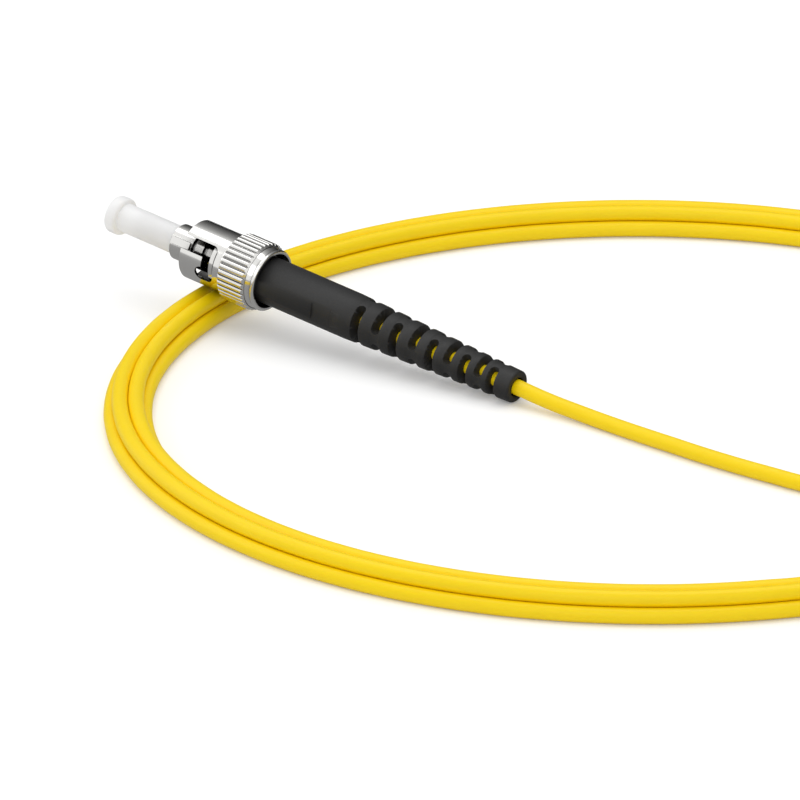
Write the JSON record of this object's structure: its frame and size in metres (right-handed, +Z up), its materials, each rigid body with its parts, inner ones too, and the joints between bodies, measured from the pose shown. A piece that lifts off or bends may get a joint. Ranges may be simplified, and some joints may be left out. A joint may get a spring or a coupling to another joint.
{
  "type": "st fibre connector",
  "caption": "Bayonet fibre connector with keyed barrel, sprung knurled nut, slotted strain-relief boot and dust cap, on a coiled yellow lead that ends in its twin.",
  "frame": {"origin": "middle of the near connector's footprint, on the surface that the lead lies on", "axes": "+X along the near connector from its ferrule towards its cable, +Z up, the key on the -Y side"},
  "size_m": [0.1578, 0.1369, 0.0122],
  "materials": {
    "cap_plastic": "translucent moulded polyethylene",
    "zirconia": "ground zirconia",
    "silica": "drawn glass",
    "buffer_plastic": "extruded tight buffer",
    "nickel_plate": "bright nickel plate on turned brass",
    "spring_steel": "drawn stainless wire and strip",
    "aramid": "aramid yarn",
    "crimp_metal": "nickel plate on drawn brass tube",
    "jacket": "extruded low-smoke jacket with a soft sheen",
    "boot_rubber": "fine matte moulded elastomer"
  },
  "bodies": {
    "connector": {"ferrule": "zirconia", "glass_fibre": "silica", "buffer_tube": "buffer_plastic", "barrel": "nickel_plate", "spring": "spring_steel", "retaining_clip": "spring_steel", "backbone": "nickel_plate", "aramid_yarn": "aramid", "crimp_sleeve": "crimp_metal", "cable_end": "jacket", "boot": "boot_rubber", "far_ferrule": "zirconia", "far_glass_fibre": "silica", "far_buffer_tube": "buffer_plastic", "far_barrel": "nickel_plate", "far_spring": "spring_steel", "far_retaining_clip": "spring_steel", "far_backbone": "nickel_plate", "far_aramid_yarn": "aramid", "far_crimp_sleeve": "crimp_metal", "far_cable_end": "jacket", "far_boot": "boot_rubber", "cable_tail": "jacket", "cable_coil": "jacket", "far_cable_tail": "jacket"},
    "cap": {"dust_cap": "cap_plastic"},
    "thrust": {"thrust_washer": "spring_steel"},
    "nut": {"coupling_nut": "nickel_plate"},
    "far_cap": {"far_dust_cap": "cap_plastic"},
    "far_thrust": {"far_thrust_washer": "spring_steel"},
    "far_nut": {"far_coupling_nut": "nickel_plate"}
  },
  "joints": [
    {"name": "cap_pull", "type": "slide", "parent": "connector", "child": "cap", "axis": [-0.9927, 0, 0.1204], "range_m": [0, 0.008]},
    {"name": "nut_push", "type": "slide", "parent": "connector", "child": "thrust", "axis": [-0.9927, 0, 0.1204], "range_m": [0, 0.0014], "stiffness_N_per_m": 1500, "springref_m": -0.0035, "deforming": ["spring"]},
    {"name": "nut_turn", "type": "hinge", "parent": "thrust", "child": "nut", "pos_m": [-0.0136, 0, 0.00762], "axis": [0.9927, 0, -0.1204], "continuous": true},
    {"name": "far_cap_pull", "type": "slide", "parent": "connector", "child": "far_cap", "axis": [0, 0.9983, 0.0582], "range_m": [0, 0.008]},
    {"name": "far_nut_push", "type": "slide", "parent": "connector", "child": "far_thrust", "axis": [0, 0.9983, 0.0582], "range_m": [0, 0.0014], "stiffness_N_per_m": 1500, "springref_m": -0.0035, "deforming": ["far_spring"]},
    {"name": "far_nut_turn", "type": "hinge", "parent": "far_thrust", "child": "far_nut", "pos_m": [0.121, 0.05792, 0.00477], "axis": [0, -0.9983, -0.0582], "continuous": true}
  ]
}
